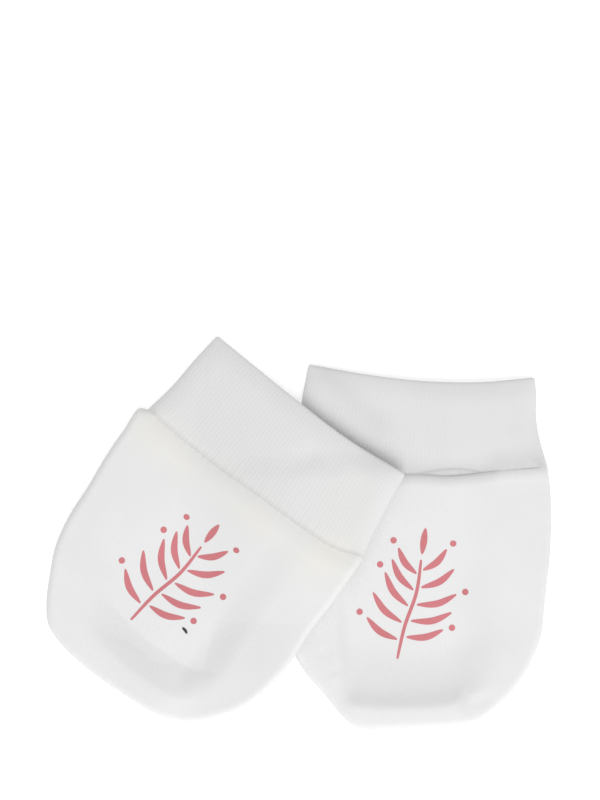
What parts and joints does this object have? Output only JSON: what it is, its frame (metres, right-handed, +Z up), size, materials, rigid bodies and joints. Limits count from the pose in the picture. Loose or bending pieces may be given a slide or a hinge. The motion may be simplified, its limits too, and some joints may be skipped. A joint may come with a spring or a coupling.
{
  "type": "pair of baby mittens",
  "caption": "Newborn's thumbless scratch mittens in white cotton with folded rib cuffs, laid flat, one lapping over the other.",
  "frame": {"origin": "under the middle of the pair's bounding box, on the surface it lies on", "axes": "+Z up from the surface, +Y towards the mouths of the cuffs, +X from the lapping mitten to the other"},
  "size_m": [0.1413, 0.11, 0.0122],
  "materials": {
    "jersey": "smooth white cotton jersey, soft and matt",
    "ribbing": "fine white one by one cotton rib, matt",
    "print": "coral water-based print on the cloth"
  },
  "bodies": {
    "root": {"left_mitten_front": "jersey", "left_mitten_back": "jersey", "left_mitten_cuff": "ribbing", "right_mitten_front": "jersey", "right_mitten_back": "jersey", "right_mitten_cuff": "ribbing"}
  },
  "joints": []
}
